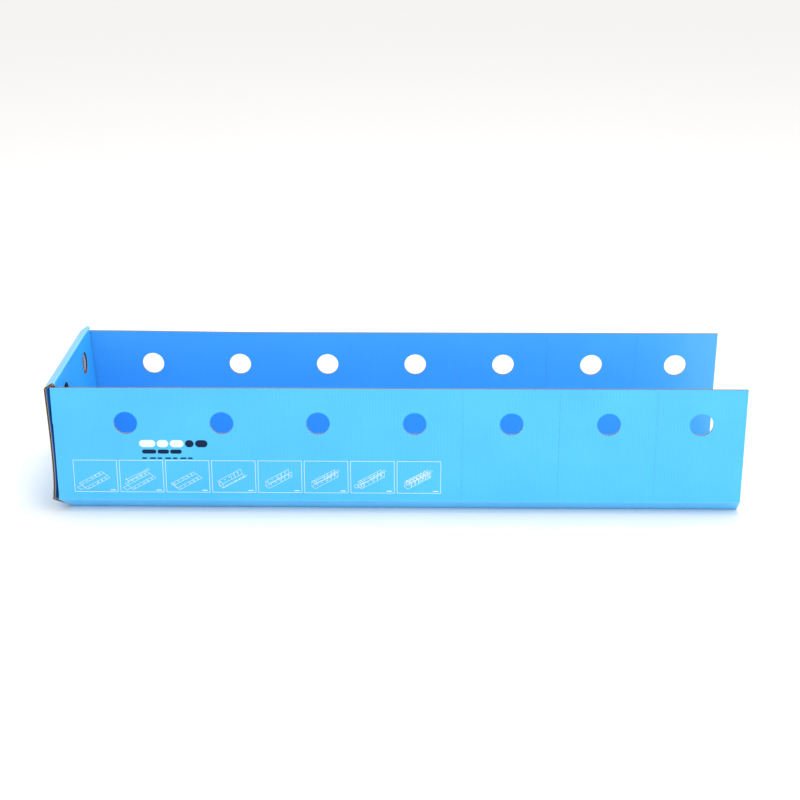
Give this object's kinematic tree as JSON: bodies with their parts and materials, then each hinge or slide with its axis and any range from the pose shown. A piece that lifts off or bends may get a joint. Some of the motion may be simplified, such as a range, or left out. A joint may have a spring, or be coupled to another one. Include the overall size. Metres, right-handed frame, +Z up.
{
  "type": "limb splint",
  "caption": "Folded corrugated-board limb splint: an open-topped channel with strap holes along its walls, one closed rolled-over end and tear-off sections at the open end.",
  "frame": {"origin": "centre of the overall box, on the ground under the channel", "axes": "+X along the channel from the closed end to the open end, +Y from the printed front wall to the back wall, +Z up"},
  "size_m": [0.723, 0.19, 0.1462],
  "materials": {
    "outer_liner": "printed, semi-gloss blue",
    "inner_liner": "printed, semi-gloss blue",
    "fluting": "raw brown paper",
    "section_board": "printed, semi-gloss blue with raw brown edges"
  },
  "bodies": {
    "base": {"base_outer": "outer_liner", "base_fluting": "fluting", "base_inner": "inner_liner", "base_section_1": "section_board", "base_section_2": "section_board", "base_section_3": "section_board"},
    "front_bevel": {"front_bevel_outer": "outer_liner", "front_bevel_fluting": "fluting", "front_bevel_inner": "inner_liner", "front_bevel_section_1": "section_board", "front_bevel_section_2": "section_board", "front_bevel_section_3": "section_board"},
    "front_wall": {"front_wall_outer": "outer_liner", "front_wall_fluting": "fluting", "front_wall_inner": "inner_liner", "front_wall_section_1": "section_board", "front_wall_section_2": "section_board", "front_wall_section_3": "section_board"},
    "front_flap": {"front_flap_outer": "outer_liner", "front_flap_fluting": "fluting", "front_flap_inner": "inner_liner"},
    "back_bevel": {"back_bevel_outer": "outer_liner", "back_bevel_fluting": "fluting", "back_bevel_inner": "inner_liner", "back_bevel_section_1": "section_board", "back_bevel_section_2": "section_board", "back_bevel_section_3": "section_board"},
    "back_wall": {"back_wall_outer": "outer_liner", "back_wall_fluting": "fluting", "back_wall_inner": "inner_liner", "back_wall_section_1": "section_board", "back_wall_section_2": "section_board", "back_wall_section_3": "section_board"},
    "back_flap": {"back_flap_outer": "outer_liner", "back_flap_fluting": "fluting", "back_flap_inner": "inner_liner"},
    "end_bevel": {"end_bevel_outer": "outer_liner", "end_bevel_fluting": "fluting", "end_bevel_inner": "inner_liner"},
    "end_panel": {"end_panel_outer": "outer_liner", "end_panel_fluting": "fluting", "end_panel_inner": "inner_liner"},
    "end_roll": {"end_roll_outer": "outer_liner", "end_roll_fluting": "fluting", "end_roll_inner": "inner_liner"},
    "end_tuck": {"end_tuck_outer": "outer_liner", "end_tuck_fluting": "fluting", "end_tuck_inner": "inner_liner"}
  },
  "joints": [
    {"name": "front_fold", "type": "hinge", "parent": "base", "child": "front_bevel", "pos_m": [0, -0.081, 0], "axis": [1, 0, 0], "range_deg": [0, 45]},
    {"name": "front_wall_fold", "type": "hinge", "parent": "front_bevel", "child": "front_wall", "pos_m": [0, -0.095, 0.014], "axis": [1, 0, 0], "range_deg": [0, 45]},
    {"name": "back_fold", "type": "hinge", "parent": "base", "child": "back_bevel", "pos_m": [0, 0.081, 0], "axis": [-1, 0, 0], "range_deg": [0, 45]},
    {"name": "back_wall_fold", "type": "hinge", "parent": "back_bevel", "child": "back_wall", "pos_m": [0, 0.095, 0.014], "axis": [-1, 0, 0], "range_deg": [0, 45]},
    {"name": "end_fold", "type": "hinge", "parent": "base", "child": "end_bevel", "pos_m": [-0.3475, 0, 0], "axis": [0, -1, 0], "range_deg": [0, 45]},
    {"name": "end_panel_fold", "type": "hinge", "parent": "end_bevel", "child": "end_panel", "pos_m": [-0.3615, 0, 0.014], "axis": [0, -1, 0], "range_deg": [0, 45]},
    {"name": "end_roll_fold", "type": "hinge", "parent": "end_panel", "child": "end_roll", "pos_m": [-0.3615, 0, 0.1385], "axis": [0, -1, 0], "range_deg": [0, 55]},
    {"name": "end_tuck_fold", "type": "hinge", "parent": "end_roll", "child": "end_tuck", "pos_m": [-0.35003, 0, 0.14653], "axis": [0, -1, 0], "range_deg": [0, 121.5]},
    {"name": "front_flap_fold", "type": "hinge", "parent": "front_wall", "child": "front_flap", "pos_m": [-0.3549, -0.095, 0.014], "axis": [0, 0, 1], "range_deg": [0, 90]},
    {"name": "back_flap_fold", "type": "hinge", "parent": "back_wall", "child": "back_flap", "pos_m": [-0.3549, 0.095, 0.014], "axis": [0, 0, -1], "range_deg": [0, 90]}
  ],
  "couplings": [
    {"joint": "front_wall_fold", "follows": "front_fold", "ratio": 1},
    {"joint": "back_wall_fold", "follows": "back_fold", "ratio": 1},
    {"joint": "end_panel_fold", "follows": "end_fold", "ratio": 1},
    {"joint": "end_roll_fold", "follows": "end_fold", "ratio": 1.2222},
    {"joint": "end_tuck_fold", "follows": "end_fold", "ratio": 2.7},
    {"joint": "front_flap_fold", "follows": "end_fold", "ratio": 2},
    {"joint": "back_flap_fold", "follows": "end_fold", "ratio": 2}
  ]
}
